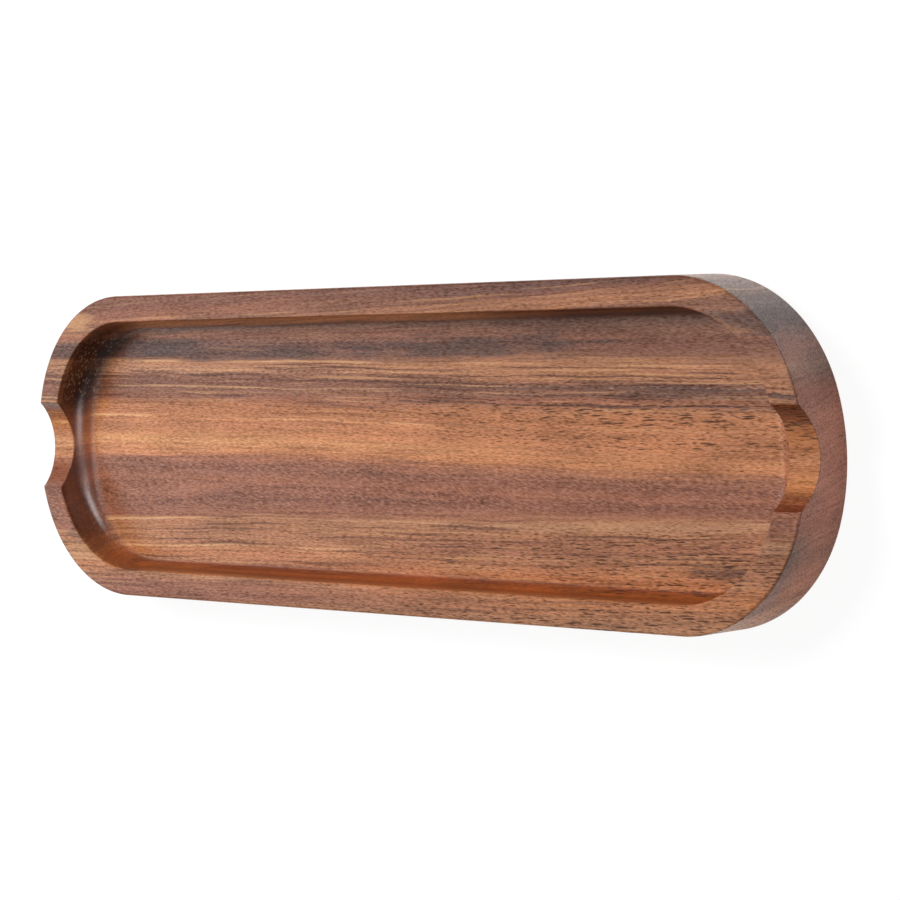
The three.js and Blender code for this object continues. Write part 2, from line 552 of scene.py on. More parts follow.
def swept_shell(tree, size):
    """A closed skin: one ring of points for every row of the section, each on its own outline."""
    section = board_section(tree, size)
    counted = make(tree, "GeometryNodeAttributeDomainSize", {0: section}, component="POINTCLOUD")
    board_rows = Term(tree, counted.outputs["Point Count"])
    around = size["Steps Around"]
    columns = around + 1.0
    inputs = {"Vertices X": board_rows + POCKET_ROWS, "Vertices Y": columns}
    grid = make(tree, "GeometryNodeMeshGrid", inputs)
    row, column = rows_and_columns(tree, columns)
    turn = (column + 0.5) / around * FULL_TURN
    place = make(tree, "GeometryNodeInputPosition").outputs[0]
    inputs = {"Geometry": section, "Value": place, "Index": row}
    options = {"data_type": "FLOAT_VECTOR", "domain": "POINT", "clamp": True}
    sample = make(tree, "GeometryNodeSampleIndex", inputs, **options)
    board_inset, _, board_height = parts(tree, sample.outputs[0])
    pocket, whole, pocket_height = pocket_section(size, row - board_rows)
    board = {name: size[name] for name in pocket}
    rule = outline_tree()
    outer_x, outer_y = outline_point(tree, rule, board, board_inset, turn)
    inner_x, inner_y = outline_point(tree, rule, pocket, whole, turn)
    in_pocket = row.math("GREATER_THAN", board_rows - 0.5)
    x = outer_x.mix(inner_x, in_pocket)
    y = outer_y.mix(inner_y, in_pocket)
    z = board_height.mix(pocket_height, in_pocket)
    return bent_grid(tree, grid, x, y, z)


# %% [markdown]
# ## The notches
#
# A core-box bit or a drum sander leaves a round channel, so each notch is a round bar taken away with
# Mesh Boolean. The new edges get a bevel weight, so that a Bevel modifier can ease them later, as
# sandpaper does.

# %% Notches and the whole tray
STEPS_IN_NOTCH = 288
NOTCH_WELD = 0.03 * MM


def notch_bar(tree, size, end):
    """A round bar across the rim at one end, +1 near or -1 far, as deep in it as the notch."""
    length = size["End Rim"] + size["Notch Radius"] * 2.0
    inputs = {"Vertices": STEPS_IN_NOTCH, "Radius": size["Notch Radius"], "Depth": length}
    bar = make(tree, "GeometryNodeMeshCylinder", inputs)
    middle = (size["Half Length"] - size["End Rim"] * 0.5) * end
    above = size["Top"] + size["Notch Radius"] - size["Notch Depth"]
    spot = make(tree, "ShaderNodeCombineXYZ", {"X": middle, "Z": above})
    along_x = (0.0, QUARTER_TURN, 0.0)
    inputs = {"Geometry": bar.outputs["Mesh"], "Translation": spot.outputs[0], "Rotation": along_x}
    return make(tree, "GeometryNodeTransform", inputs).outputs[0]


def tray_tree():
    """The whole board, with the edges of its notches marked for the bevel."""
    tree = bpy.data.node_groups.new("Routed tray", "GeometryNodeTree")
    size = open_inputs(tree, TRAY_LENGTHS, ("Steps Around",), (("Wood", "NodeSocketMaterial"),))
    shell = swept_shell(tree, size)
    cut = make(tree, "GeometryNodeMeshBoolean", {"Mesh 1": shell}, operation="DIFFERENCE", solver="EXACT")
    for end in (1.0, -1.0):
        tree.links.new(notch_bar(tree, size, end), cut.inputs["Mesh 2"])
    inputs = {
        "Geometry": cut.outputs["Mesh"],
        "Name": "bevel_weight_edge",
        "Value": cut.outputs["Intersecting Edges"],
    }
    marked = make(tree, "GeometryNodeStoreNamedAttribute", inputs, data_type="FLOAT", domain="EDGE")
    welded = weld(tree, marked.outputs[0], NOTCH_WELD)
    smooth = make(tree, "GeometryNodeSetShadeSmooth", {"Geometry": welded})
    return close_piece(tree, smooth.outputs[0], size["Wood"])


# %% [markdown]
# ## The wood
#
# The stripes of this board are growth layers cut lengthwise. They run through the whole thickness and
# lean a little, so the near end shows them as slanting bands. A picture laid on the faces would break
# at every edge. The material therefore paints the wood in three dimensions: one number, the ring, says
# which growth layer a point lies in, and everything else hangs on it. The tints are those of bare wood.
# The picture looks paler, because the oil on flat parts mirrors the lamps.

# %% Tints of the wood
def tint(red, green, blue):
    """A colour as a screen shows it, from 0 to 255, turned into the linear values that Blender mixes."""
    linear = []
    for part in (red, green, blue):
        share = part / 255.0
        linear.append(share / 12.92 if share <= 0.04045 else ((share + 0.055) / 1.055) ** 2.4)
    return (*linear, 1.0)


TINTS = {
    "charcoal": tint(98, 62, 51),
    "cocoa": tint(124, 74, 53),
    "umber": tint(136, 87, 63),
    "plum": tint(124, 72, 52),
    "mauve": tint(140, 83, 60),
    "rose": tint(150, 89, 61),
    "fawn": tint(160, 100, 68),
    "tan": tint(170, 111, 74),
    "russet": tint(186, 117, 72),
    "straw": tint(180, 127, 92),
    "amber": tint(202, 132, 82),
    "honey": tint(217, 151, 96),
}
print("tints of bare wood:", ", ".join(TINTS))

# %% [markdown]
# ### Growth bands
#
# A band is a run of layers with one tint. On the real board the tint changes along the way, because the
# layers are not quite parallel to the saw cut. So each band has one tint at the far end and one at the
# near end, and says how strong its pores, its fine lines and its light flecks are. The list goes across
# the board, from the side at the top of the picture to the side at the bottom.

# %% Bands across the board
# Each band: its place across the board in millimetres, its far and near tint, its pores, lines and flecks.
BANDS = [
    (44.0, "cocoa", "charcoal", 0.5, 0.4, 0.1),
    (40.0, "cocoa", "charcoal", 0.5, 0.4, 0.1),
    (38.0, "mauve", "charcoal", 0.4, 0.4, 0.1),
    (36.6, "fawn", "charcoal", 0.4, 0.6, 0.1),
    (35.2, "umber", "cocoa", 0.4, 0.6, 0.1),
    (33.4, "umber", "tan", 0.3, 0.6, 0.1),
    (31.9, "umber", "tan", 0.3, 0.4, 0.2),
    (30.9, "tan", "umber", 0.3, 0.3, 0.2),
    (28.8, "rose", "umber", 0.3, 0.3, 0.2),
    (27.2, "umber", "cocoa", 0.2, 0.2, 0.1),
    (25.6, "charcoal", "cocoa", 0.2, 0.2, 0.1),
    (23.6, "charcoal", "umber", 0.2, 0.3, 0.1),
    (21.9, "charcoal", "tan", 0.2, 0.6, 0.2),
    (20.9, "tan", "tan", 0.2, 1.0, 0.0),
    (19.2, "straw", "tan", 0.3, 1.0, 0.0),
    (17.8, "umber", "tan", 0.5, 0.9, 0.0),
    (16.0, "cocoa", "umber", 0.6, 0.9, 0.0),
    (14.4, "cocoa", "umber", 0.6, 1.0, 0.0),
    (12.6, "umber", "rose", 0.7, 1.0, 0.0),
    (10.8, "rose", "tan", 0.9, 0.8, 0.0),
    (9.2, "russet", "russet", 1.0, 0.5, 0.0),
    (7.0, "russet", "russet", 0.9, 0.3, 0.1),
    (6.1, "amber", "russet", 0.4, 0.4, 0.0),
    (5.2, "russet", "russet", 0.6, 0.3, 0.1),
    (3.4, "russet", "russet", 0.9, 0.2, 0.2),
    (1.4, "amber", "russet", 0.5, 0.3, 0.2),
    (0.2, "honey", "russet", 0.4, 0.3, 0.2),
    (-1.4, "amber", "amber", 0.3, 0.2, 0.3),
    (-3.0, "russet", "russet", 0.2, 0.2, 0.5),
    (-4.4, "rose", "fawn", 0.1, 0.1, 0.9),
    (-6.8, "plum", "plum", 0.1, 0.1, 1.0),
    (-9.6, "rose", "rose", 0.1, 0.1, 1.0),
    (-12.8, "plum", "plum", 0.1, 0.1, 1.0),
    (-15.2, "mauve", "mauve", 0.2, 0.3, 0.8),
    (-16.9, "rose", "tan", 0.3, 0.6, 0.5),
    (-18.4, "tan", "straw", 0.4, 0.7, 0.3),
    (-20.2, "tan", "tan", 0.6, 0.8, 0.1),
    (-22.4, "tan", "fawn", 0.9, 0.8, 0.0),
    (-24.4, "tan", "fawn", 0.9, 0.8, 0.0),
    (-26.4, "russet", "tan", 0.9, 0.8, 0.0),
    (-28.6, "tan", "russet", 0.8, 0.7, 0.0),
    (-31.0, "mauve", "russet", 0.6, 0.5, 0.3),
    (-34.0, "mauve", "tan", 1.0, 0.5, 0.3),
    (-37.0, "tan", "straw", 1.0, 0.3, 0.2),
]
RING_LOW, RING_HIGH = -48.0, 52.0
print(len(BANDS), "growth bands from", BANDS[-1][0], "to", BANDS[0][0], "mm")


# %% [markdown]
# ### Marks along the grain
#
# Every mark in wood is longer along the grain than across it: fibres, pores, growth lines. Three node
# groups make them all, each built once and used many times with other sizes. One stretches a noise
# along the board. One draws cells out of a Voronoi pattern, which are open pores where they are dark
# and flecks where they are light. One lays a soft spot with ragged ends at a place.

# %% Node groups for noise, pores and spots
def open_group(name, numbers):
    """Begins a group of shader nodes that takes a place and some numbers."""
    tree = bpy.data.node_groups.new(name, "ShaderNodeTree")
    return tree, open_inputs(tree, numbers, (), (("Place", "NodeSocketVector"),))


def close_group(tree, value):
    """Ends a group of shader nodes that gives one number."""
    tree.interface.new_socket("Value", in_out="OUTPUT", socket_type="NodeSocketFloat")
    make(tree, "NodeGroupOutput", {"Value": value})
    return tree


def stretched(tree, given):
    """The place in units of a mark that is Along long and Across wide, moved on by Shift."""
    across = given["Across"]
    mark = make(tree, "ShaderNodeCombineXYZ", {"X": given["Along"], "Y": across, "Z": across})
    scaled = make(tree, "ShaderNodeVectorMath", {0: given["Place"], 1: mark.outputs[0]}, operation="DIVIDE")
    inputs = {0: scaled.outputs[0], 1: given["Shift"]}
    return make(tree, "ShaderNodeVectorMath", inputs, operation="ADD").outputs[0]


def grain_noise_tree():
    tree, given = open_group("Grain noise", ("Along", "Across", "Detail", "Shift"))
    inputs = {"Vector": stretched(tree, given), "Scale": 1.0, "Detail": given["Detail"]}
    return close_group(tree, make(tree, "ShaderNodeTexNoise", inputs).outputs[0])


def pore_tree():
    """Drawn-out cells round scattered points, cut off at Reach."""
    tree, given = open_group("Pores", ("Along", "Across", "Reach", "Shift"))
    cells = make(tree, "ShaderNodeTexVoronoi", {"Vector": stretched(tree, given), "Scale": 1.0})
    away = Term(tree, cells.outputs["Distance"])
    return close_group(tree, away.fade(given["Reach"] * 0.5, given["Reach"]))


SPOT_EDGE = (0.2, 1.1)


def soft_spot_tree():
    tree, given = open_group("Soft spot", ("X", "Y", "Half Length", "Half Width", "Ragged"))
    x, y, _ = parts(tree, given["Place"])
    along = (x - given["X"]) / given["Half Length"]
    across = (y - given["Y"]) / given["Half Width"]
    away = (along * along + across * across).math("SQRT") + given["Ragged"]
    return close_group(tree, away.fade(*SPOT_EDGE))


GRAIN_NOISE = grain_noise_tree()
PORES = pore_tree()
SOFT_SPOT = soft_spot_tree()
print("shader groups:", ", ".join(group.name for group in (GRAIN_NOISE, PORES, SOFT_SPOT)))


# %% Using the groups
def grain_noise(tree, place, along, across, detail=1.0, shift=0.0):
    inputs = {"Place": place, "Along": along, "Across": across, "Detail": detail, "Shift": shift}
    return Term(tree, make(tree, "ShaderNodeGroup", inputs, node_tree=GRAIN_NOISE).outputs[0])


def swing(tree, place, noise):
    """A noise that swings about nought, from its length, width, detail and shift."""
    return grain_noise(tree, place, *noise) - 0.5


def pore_cells(tree, place, along, across, reach, shift=0.0):
    inputs = {"Place": place, "Along": along, "Across": across, "Reach": reach, "Shift": shift}
    return Term(tree, make(tree, "ShaderNodeGroup", inputs, node_tree=PORES).outputs[0])


def soft_spot(tree, place, spot, ragged):
    """How strong a spot is at a place. A spot is its middle, half its length and width, and strength."""
    x, y, half_length, half_width, strength = spot
    inputs = {"Place": place, "Ragged": ragged, "X": x, "Y": y}
    inputs.update({"Half Length": half_length, "Half Width": half_width})
    return Term(tree, make(tree, "ShaderNodeGroup", inputs, node_tree=SOFT_SPOT).outputs[0]) * strength


def blend(tree, share, first, second, kind="MIX"):
    """A mix of two colours."""
    node = make(tree, "ShaderNodeMix", {0: share}, data_type="RGBA", blend_type=kind)
    feed(tree, node.inputs[6], first)
    feed(tree, node.inputs[7], second)
    return node.outputs[2]


def brighten(tree, colour, factor):
    """A colour times a number."""
    return make(tree, "ShaderNodeVectorMath", {0: colour, "Scale": factor}, operation="SCALE").outputs[0]


# %% [markdown]
# ### From a ring to a colour
#
# A Color Ramp turns one number into a colour, with a stop for every band. Three pairs of ramps are
# read: the tints at the far end, the tints at the near end, and the strengths, which travel as red,
# green and blue.

# %% Ramps over the bands
def ramp_part(tree, ring, stops):
    share = (ring - RING_LOW) / (RING_HIGH - RING_LOW)
    ramp = make(tree, "ShaderNodeValToRGB", {"Fac": share})
    elements = ramp.color_ramp.elements
    while len(elements) < len(stops):
        elements.new(0.5)
    for element, (place, colour) in zip(elements, stops):
        element.position = (place - RING_LOW) / (RING_HIGH - RING_LOW)
        element.color = colour
    return ramp.outputs["Color"]


def band_ramp(tree, ring, pick):
    """A colour by ring. One ramp holds 32 stops at most, so two halves meet at the middle band."""
    stops = [(band[0], pick(band)) for band in sorted(BANDS)]
    middle = len(stops) // 2
    low, high = ramp_part(tree, ring, stops[:middle + 1]), ramp_part(tree, ring, stops[middle:])
    return blend(tree, ring.math("GREATER_THAN", stops[middle][0]), low, high)


def band_colours(tree, ring, near):
    """The band's tint, far and near mixed, and its strength of pores, lines and flecks, at a ring."""
    far_tint = band_ramp(tree, ring, lambda band: TINTS[band[1]])
    near_tint = band_ramp(tree, ring, lambda band: TINTS[band[2]])
    strengths = band_ramp(tree, ring, lambda band: (*band[3:6], 1.0))
    shares = make(tree, "ShaderNodeSeparateColor", {"Color": strengths})
    return blend(tree, near, far_tint, near_tint), [Term(tree, shares.outputs[i]) for i in range(3)]


# %% [markdown]
# ### Which layer a point lies in
#
# The layers of a trunk are wavy sheets that stand nearly upright in this board. Here a sheet starts as
# a leaning plane, drifts a little along the board and is bent by two noises. The long outer walls lie
# almost in one sheet, which would give them patches, so the sheets lean far over there and the walls
# get long stripes.

# %% Growth ring
RING_LEAN = 0.37
SIDE_LEAN = 1.1
RING_DRIFT = 0.016
RIM_DRIFT = -0.036
LOW_DRIFT = -0.018
# Stretches across the board, in millimetres, over which the lean and the drift change
UPPER_RIM = (26.0, 33.0)
LOWER_PART = (-15.0, -9.0)
LEAN_END = (10.0, 24.0)
SIDE_WALL = (38.6, 39.4)
# Noises: the length and width of a blot in millimetres, its detail, and a shift that sets it apart
WANDER = (110.0, 26.0, 1.0, 3.1)
RIPPLE = (30.0, 5.0, 2.0, 7.7)
WANDER_REACH = 2.4
RIPPLE_REACH = 1.6
TOP_MM = BOARD_TOP / MM
FLOOR_MM = POCKET_FLOOR / MM


def growth_ring(tree, place):
    """Which growth layer a place lies in, in millimetres across the board at the pocket's floor."""
    x, y, z = parts(tree, place)
    wander = swing(tree, place, WANDER) * WANDER_REACH
    ripple = swing(tree, place, RIPPLE) * RIPPLE_REACH
    drift = y.smooth(*UPPER_RIM) * (RIM_DRIFT - RING_DRIFT) + RING_DRIFT
    drift = drift + y.fade(*LOWER_PART) * (LOW_DRIFT - RING_DRIFT)
    lean = y.fade(*LEAN_END) * RING_LEAN
    side_wall = y.math("ABSOLUTE").smooth(*SIDE_WALL) * y.math("SIGN")
    ring = y + (z - FLOOR_MM) * lean + drift * x + wander + ripple
    return ring - side_wall * (TOP_MM - z) * SIDE_LEAN


# %% [markdown]
# ### Base colour
#
# The material is built in steps, and each step is one short function. It finds what it needs on one
# record, `wood`, and leaves there what later steps need: the place, the way the surface faces, the
# colour so far. The first step reads the band's tint. Streaks and hairs shift the ring a little before
# that, so that the bands fray into each other as fibres do.

# %% Place, facing and bands
# Noises, written as above
STREAKS = (24.0, 0.8, 1.0, 1.3)
HAIRS = (1.6, 0.36, 2.0, 9.0)
CLOUDS = (24.0, 5.0, 2.0, 2.0)
# Where along the board the far tints turn into the near ones, and how streaks and hairs fray the bands
FAR_TO_NEAR = (-90.0, 90.0)
TURN_FRAY, STREAK_FRAY, HAIR_FRAY = 60.0, 3.4, 1.6
# How far upwards or downwards a flat part faces
LEVEL = (0.9, 0.995)


def surface(tree):
    """The place in millimetres and the direction that the surface faces, in the piece's own frame."""
    where = make(tree, "ShaderNodeTexCoord")
    inputs = {0: where.outputs["Object"], "Scale": 1.0 / MM}
    place = make(tree, "ShaderNodeVectorMath", inputs, operation="SCALE").outputs[0]
    return place, where.outputs["Normal"]


def meet_surface(tree):
    """Where a point of the tray lies and which way it faces."""
    wood = SimpleNamespace(tree=tree)
    wood.place, facing = surface(tree)
    wood.x, wood.y, wood.z = parts(tree, wood.place)
    wood.facing_x, wood.facing_y, wood.facing_z = parts(tree, facing)
    wood.off_middle = wood.y.math("ABSOLUTE")
    outwards = wood.facing_x * wood.x + wood.facing_y * wood.y
    wood.faces_out = outwards.math("GREATER_THAN", 0.0)
    wood.faces_in = outwards.math("LESS_THAN", 0.0)
    wood.flat = wood.facing_z.math("ABSOLUTE").smooth(*LEVEL)
    return wood


def lay_bands(wood):
    """The tint of a point's band, and how strong the band's pores, lines and flecks are."""
    tree = wood.tree
    wood.ring = growth_ring(tree, wood.place)
    wood.in_layer = make(tree, "ShaderNodeCombineXYZ", {"X": wood.x, "Y": wood.ring}).outputs[0]
    wood.streaks = swing(tree, wood.in_layer, STREAKS)
    wood.hairs = swing(tree, wood.place, HAIRS)
    wood.clouds = swing(tree, wood.place, CLOUDS)
    wood.near = (wood.x + wood.streaks * TURN_FRAY).smooth(*FAR_TO_NEAR)
    frayed = wood.ring + wood.streaks * STREAK_FRAY + wood.hairs * HAIR_FRAY
    wood.colour, (wood.pores, wood.lines, wood.flecks) = band_colours(tree, frayed, wood.near)


# %% [markdown]
# ### Where the ends cut across the fibres
#
# A cut across the fibres turns lines into dots, drinks more oil and looks dull. The near end wall is warm
# with grey over its upper part and a dark wedge beside the notch. A grey sheen is painted along the top of
# the wall, and a dark grey one under the rim on the lower side. All of it slants as the layers do. The
# tones come over the bands wherever the surface faces along the board.

# %% End grain
END_WARM = tint(158, 96, 74)
END_GREY = tint(112, 82, 72)
END_DARK = tint(70, 60, 58)
END_LEAN = 0.25
END_FRAY = 2.0
ALONG_BOARD = (0.3, 0.8)
STANDING = (0.3, 0.6)
# Stretches in millimetres over which a tone comes or goes, across the board unless the name says up
RED_COMES, RED_GOES = (18.0, 22.0), (26.0, 30.0)
GREY_COMES, GREY_COMES_UP = (9.0, 12.0), (9.0, 16.0)
WEDGE_COMES, WEDGE_GOES = (8.5, 10.5), (13.0, 20.0)
EDGE_GOES, EDGE_COMES_UP = (-12.0, -6.0), (8.0, 16.0)
CORNER_ALONG, CORNER_ACROSS = (96.0, 112.0), (20.0, 32.0)
# How much of each tone shows
END_SHARE, RED_SHARE, TOP_GREY_SHARE, CORNER_SHARE = 0.7, 0.6, 0.7, 0.7
WEDGE_SHARE, EDGE_SHARE, LINES_LOST = 0.9, 0.45, 0.8


def shade_ends(wood):
    """Dull tones on the outer ends, a painted grey sheen along their top, and a dark near corner."""
    tree, z = wood.tree, wood.z
    end_grain = wood.facing_x.math("ABSOLUTE").smooth(*ALONG_BOARD)
    wood.outer_end = end_grain * wood.faces_out
    wood.along_fibres = 1.0 - end_grain
    wood.lines = wood.lines * (1.0 - end_grain * LINES_LOST)
    y = wood.y + wood.hairs * END_FRAY - (TOP_MM - z) * END_LEAN
    red_patch = y.smooth(*RED_COMES) * y.fade(*RED_GOES)
    grey = y.smooth(*GREY_COMES) * (1.0 - red_patch * RED_SHARE)
    # Painted sheen: grey along the top of the wall.
    grey = grey.math("MAXIMUM", z.smooth(*GREY_COMES_UP) * TOP_GREY_SHARE)
    end_tone = blend(tree, grey, END_WARM, END_GREY)
    colour = blend(tree, wood.outer_end * END_SHARE, wood.colour, end_tone)
    wedge = y.smooth(*WEDGE_COMES) * y.fade(*WEDGE_GOES) * WEDGE_SHARE
    # Painted sheen: a dark grey under the rim, on the lower side of the picture.
    low_edge = z.smooth(*EDGE_COMES_UP) * y.fade(*EDGE_GOES) * EDGE_SHARE
    wood.end_dark = wood.outer_end * wedge.math("MAXIMUM", low_edge)
    colour = blend(tree, wood.end_dark, colour, END_DARK)
    outer_wall = wood.facing_z.math("ABSOLUTE").fade(*STANDING) * wood.faces_out
    near_corner = outer_wall * wood.x.smooth(*CORNER_ALONG) * wood.y.smooth(*CORNER_ACROSS)
    wood.colour = blend(tree, near_corner * CORNER_SHARE, colour, END_DARK)


# %% [markdown]
# ### The hollow, the notches and painted light on the upper wall
#
# Later steps treat the hollow between wall and floor in its own way, so this step finds it: every slope
# that faces inwards, but not the lip, the notches or the low ledge under the near one. The wall at the top
# of the picture faces away from the key softbox, and a light gold is painted on it as painted light.

# %% Hollow and painted light on the upper wall
WALL_GOLD = tint(250, 168, 114)
LIP_COMES_UP = (14.6, 15.6)
NOTCH_REACH = NOTCH_RADIUS / MM + 1.0
NOTCH_FACING = 0.2
LEDGE_ALONG, LEDGE_ENDS = (110.0, 116.0), (14.0, 20.0)
GOLD_FACING, GOLD_FROM = (0.15, 0.6), 20.0
GOLD_COMES, GOLD_GOES = (-112.0, -96.0), (0.0, 70.0)
LEDGE_SHARE = 0.7


def find_hollow(wood):
    """Marks the notches, the ledge and the hollow."""
    facing_along = wood.facing_x.math("ABSOLUTE")
    in_notch = wood.off_middle.math("LESS_THAN", NOTCH_REACH) * facing_along.math("LESS_THAN", NOTCH_FACING)
    ledge = wood.x.smooth(*LEDGE_ALONG) * wood.off_middle.fade(*LEDGE_ENDS)
    tilted = 1.0 - wood.flat
    wood.near_notch = in_notch * wood.x.math("GREATER_THAN", 0.0)
    wood.near_ledge = ledge * tilted * (1.0 - in_notch)
    hollow = tilted * wood.faces_in * wood.z.fade(*LIP_COMES_UP)
    wood.hollow = hollow * (1.0 - in_notch) * (1.0 - ledge)


def light_wall(wood):
    """Painted light on the upper wall, which faces away from the key, and the warm ledge under the near
    notch.
    """
    # Painted light: a light gold stands in for the light that the upper wall lacks.
    gold_wall = wood.hollow * (wood.facing_y * -1.0).smooth(*GOLD_FACING)
    gold_wall = gold_wall * wood.y.math("GREATER_THAN", GOLD_FROM)
    wood.gold_wall = gold_wall * wood.x.smooth(*GOLD_COMES) * wood.x.fade(*GOLD_GOES)
    colour = blend(wood.tree, wood.gold_wall, wood.colour, WALL_GOLD)
    wood.colour = blend(wood.tree, wood.near_ledge * LEDGE_SHARE, colour, END_WARM)


# %% [markdown]
# ### Fibres and lines
#
# Fibres make wood shimmer: each is a little lighter or darker than its neighbour, and cloudy stretches
# are darker as a whole. Fine dark and light lines follow the layers. Some layers end in a thin light
# line, and the near notch, which cuts the layers at a slant, shows a few dark ones.

# %% Fibres and layer lines
LINE_DARK = tint(92, 60, 50)
LINE_LIGHT = tint(214, 158, 106)
LINE_GOLD = tint(236, 184, 130)
THREADS = (46.0, 0.66, 2.0, 5.0)
DARK_THREADS, LIGHT_THREADS, CLEAR_CLOUDS = (0.54, 0.66), (0.32, 0.44), (-0.12, 0.1)
LINE_EDGE = (0.3, 1.0)
# Brightness: its mean, and how far clouds, streaks and hairs change it
MEAN_SHADE, CLOUD_SHADE, STREAK_SHADE, HAIR_SHADE = 1.03, 0.7, 0.7, 1.3
DARK_LINE_SHARE, LIGHT_LINE_SHARE, GOLD_LOST_NEAR = 0.8, 0.6, 0.8
GOLD_FRAY, NOTCH_FRAY = 0.7, 1.2
# Each line: its ring and half its width in millimetres, and its strength.
GOLD_LINES = [(21.0, 0.4, 0.6), (14.0, 0.3, 0.4), (6.0, 0.35, 0.7), (-17.8, 0.4, 0.6), (-25.2, 0.4, 0.6)]
NOTCH_LINES = [(17.8, 0.7, 0.85), (15.4, 0.4, 0.8), (13.6, 0.3, 0.7), (11.4, 0.3, 0.6)]


def weave_fibres(wood):
    """Light and dark fibres, then fine lines along the layers."""
    tree = wood.tree
    wood.broad_shade = wood.clouds * CLOUD_SHADE + wood.streaks * STREAK_SHADE + MEAN_SHADE
    colour = brighten(tree, wood.colour, wood.broad_shade + wood.hairs * HAIR_SHADE)
    threads = grain_noise(tree, wood.in_layer, *THREADS)
    wood.dark_lines = threads.smooth(*DARK_THREADS) * wood.lines
    colour = blend(tree, wood.dark_lines * DARK_LINE_SHARE, colour, LINE_DARK)
    light_lines = threads.fade(*LIGHT_THREADS) * wood.lines * LIGHT_LINE_SHARE
    wood.colour = blend(tree, light_lines, colour, LINE_LIGHT)


def draw_lines(wood, lines, fraying, where, line_colour):
    """Single lines, each at its own ring, where a mask lets them show."""
    for middle, half_width, strength in lines:
        away = (wood.ring + wood.hairs * fraying - middle).math("ABSOLUTE") / half_width
        share = away.fade(*LINE_EDGE) * where * strength
        wood.colour = blend(wood.tree, share, wood.colour, line_colour)


def draw_layer_ends(wood):
    """Light lines that clouds break up, and dark lines in the near notch."""
    broken = wood.clouds.smooth(*CLEAR_CLOUDS) * wood.along_fibres * (1.0 - wood.near * GOLD_LOST_NEAR)
    draw_lines(wood, GOLD_LINES, GOLD_FRAY, broken, LINE_GOLD)
    draw_lines(wood, NOTCH_LINES, NOTCH_FRAY, wood.near_notch, LINE_DARK)


# %% [markdown]
# ### Smudges
#
# Minerals in the sap leave grey-brown smudges with ragged ends, and a few pale patches show on the far
# corners of the rim. Each is a soft spot at a listed place. The far wall of the pocket is painted dark
# under its lip, as painted shade where the lamps do not reach.

# %% Smudges, pale patches and painted shade on the far wall
SMUDGE_DARK = tint(66, 44, 40)
RAGGED_ENDS = (14.0, 1.2, 2.0, 4.4)
RAGGED_REACH, FAR_RAGGED = 2.2, 4.0
FAR_DARK_SHARE, FAR_DARK_LOW = 0.7, 0.2
FAR_WALL_GOES, FAR_DARK_COMES, FAR_DARK_COMES_UP = (-116.0, -100.0), (4.0, 14.0), (7.2, 10.5)
# Each spot: its middle along and across the board, half its length and width in millimetres, its strength.
PALE_SPOTS = [(-115.5, 33.0, 9.0, 3.5, 0.6), (-119.5, -28.5, 10.0, 3.5, 0.25)]
SMUDGES = [
    (-92.0, 26.0, 26.0, 4.2, 0.8),
    (-40.0, 24.0, 24.0, 2.4, 0.6),
    (22.0, 24.6, 48.0, 3.4, 0.7),
    (52.0, 26.5, 14.0, 2.8, 0.6),
    (104.0, -27.0, 14.0, 2.4, 0.65),
    (88.0, 14.2, 22.0, 2.0, 0.45),
    (122.0, 30.0, 18.0, 4.5, 0.7),
    (127.0, -20.5, 8.0, 3.5, 0.3),
    (-130.0, -19.0, 6.0, 5.0, 0.3),
    (-119.0, -23.0, 5.0, 4.0, 0.5),
]


def lay_smudges(wood):
    tree, colour = wood.tree, wood.colour
    ragged = swing(tree, wood.place, RAGGED_ENDS) * RAGGED_REACH
    for spot in PALE_SPOTS:
        colour = blend(tree, soft_spot(tree, wood.place, spot, ragged) * wood.flat, colour, LINE_LIGHT)
    for spot in SMUDGES:
        colour = blend(tree, soft_spot(tree, wood.place, spot, ragged), colour, SMUDGE_DARK)
    # Painted shade: the far wall turns dark under its lip, most on its upper side.
    wood.far_hollow = wood.hollow * wood.x.fade(*FAR_WALL_GOES)
    under_lip = wood.z.smooth(*FAR_DARK_COMES_UP) * (1.0 - FAR_DARK_LOW) + FAR_DARK_LOW
    upper_part = (wood.y + ragged * FAR_RAGGED).smooth(*FAR_DARK_COMES)
    wood.far_dark = wood.far_hollow * upper_part * under_lip
    wood.colour = blend(tree, wood.far_dark * FAR_DARK_SHARE, colour, SMUDGE_DARK)


# %% [markdown]
# ### Flecks and pores
#
# Where the grain interlocks, short light flecks lie slantwise in the plum-coloured bands. They are partly
# the wood's own flecks and partly painted highlight, and on the outer ends light specks are painted as
# glints of the end-grain pores. Open pores are dark dashes: fine ones all over, coarse ones towards the
# near end. Both are cells of the same group, and a shear turns them a little off the board's length.

# %% Flecks and pores
FLECK_LIGHT = tint(190, 122, 84)
PORE_DARK = tint(60, 38, 34)
FLECK_SLOPE, FINE_SLOPE, COARSE_SLOPE = 0.24, 0.06, -0.03
# The length and width of a cell in millimetres
FLECK_CELL, FINE_CELL, COARSE_CELL = (1.9, 0.46), (2.8, 0.44), (7.5, 0.62)
FLECK_SHIFT, FINE_SHIFT, COARSE_SHIFT = 4.0, 6.5, 0.5
# How far a cell reaches from its middle, as a share of its size: always, and more by the band
FLECK_REACH, FLECK_REACH_BY_BAND = 0.3, 0.2
FINE_REACH, FINE_REACH_BY_BAND, FINE_REACH_NEAR = 0.12, 0.24, 0.04
COARSE_REACH, COARSE_REACH_BY_BAND, COARSE_REACH_NEAR = 0.02, 0.02, 0.34
# How much of the marks shows
FLECK_SHARE, FLECK_SHARE_BY_BAND, FLECK_SHARE_AT_ENDS = 0.12, 0.4, 0.25
FINE_SHARE, FINE_SHARE_NEAR, PORE_SHARE, PORES_LOST_AT_ENDS = 0.55, 0.25, 0.85, 0.6


def sheared(tree, place, slope):
    """The place with its marks sloping: Y grows by slope for each millimetre of X."""
    x, y, z = parts(tree, place)
    return make(tree, "ShaderNodeCombineXYZ", {"X": x, "Y": y + x * slope, "Z": z}).outputs[0]


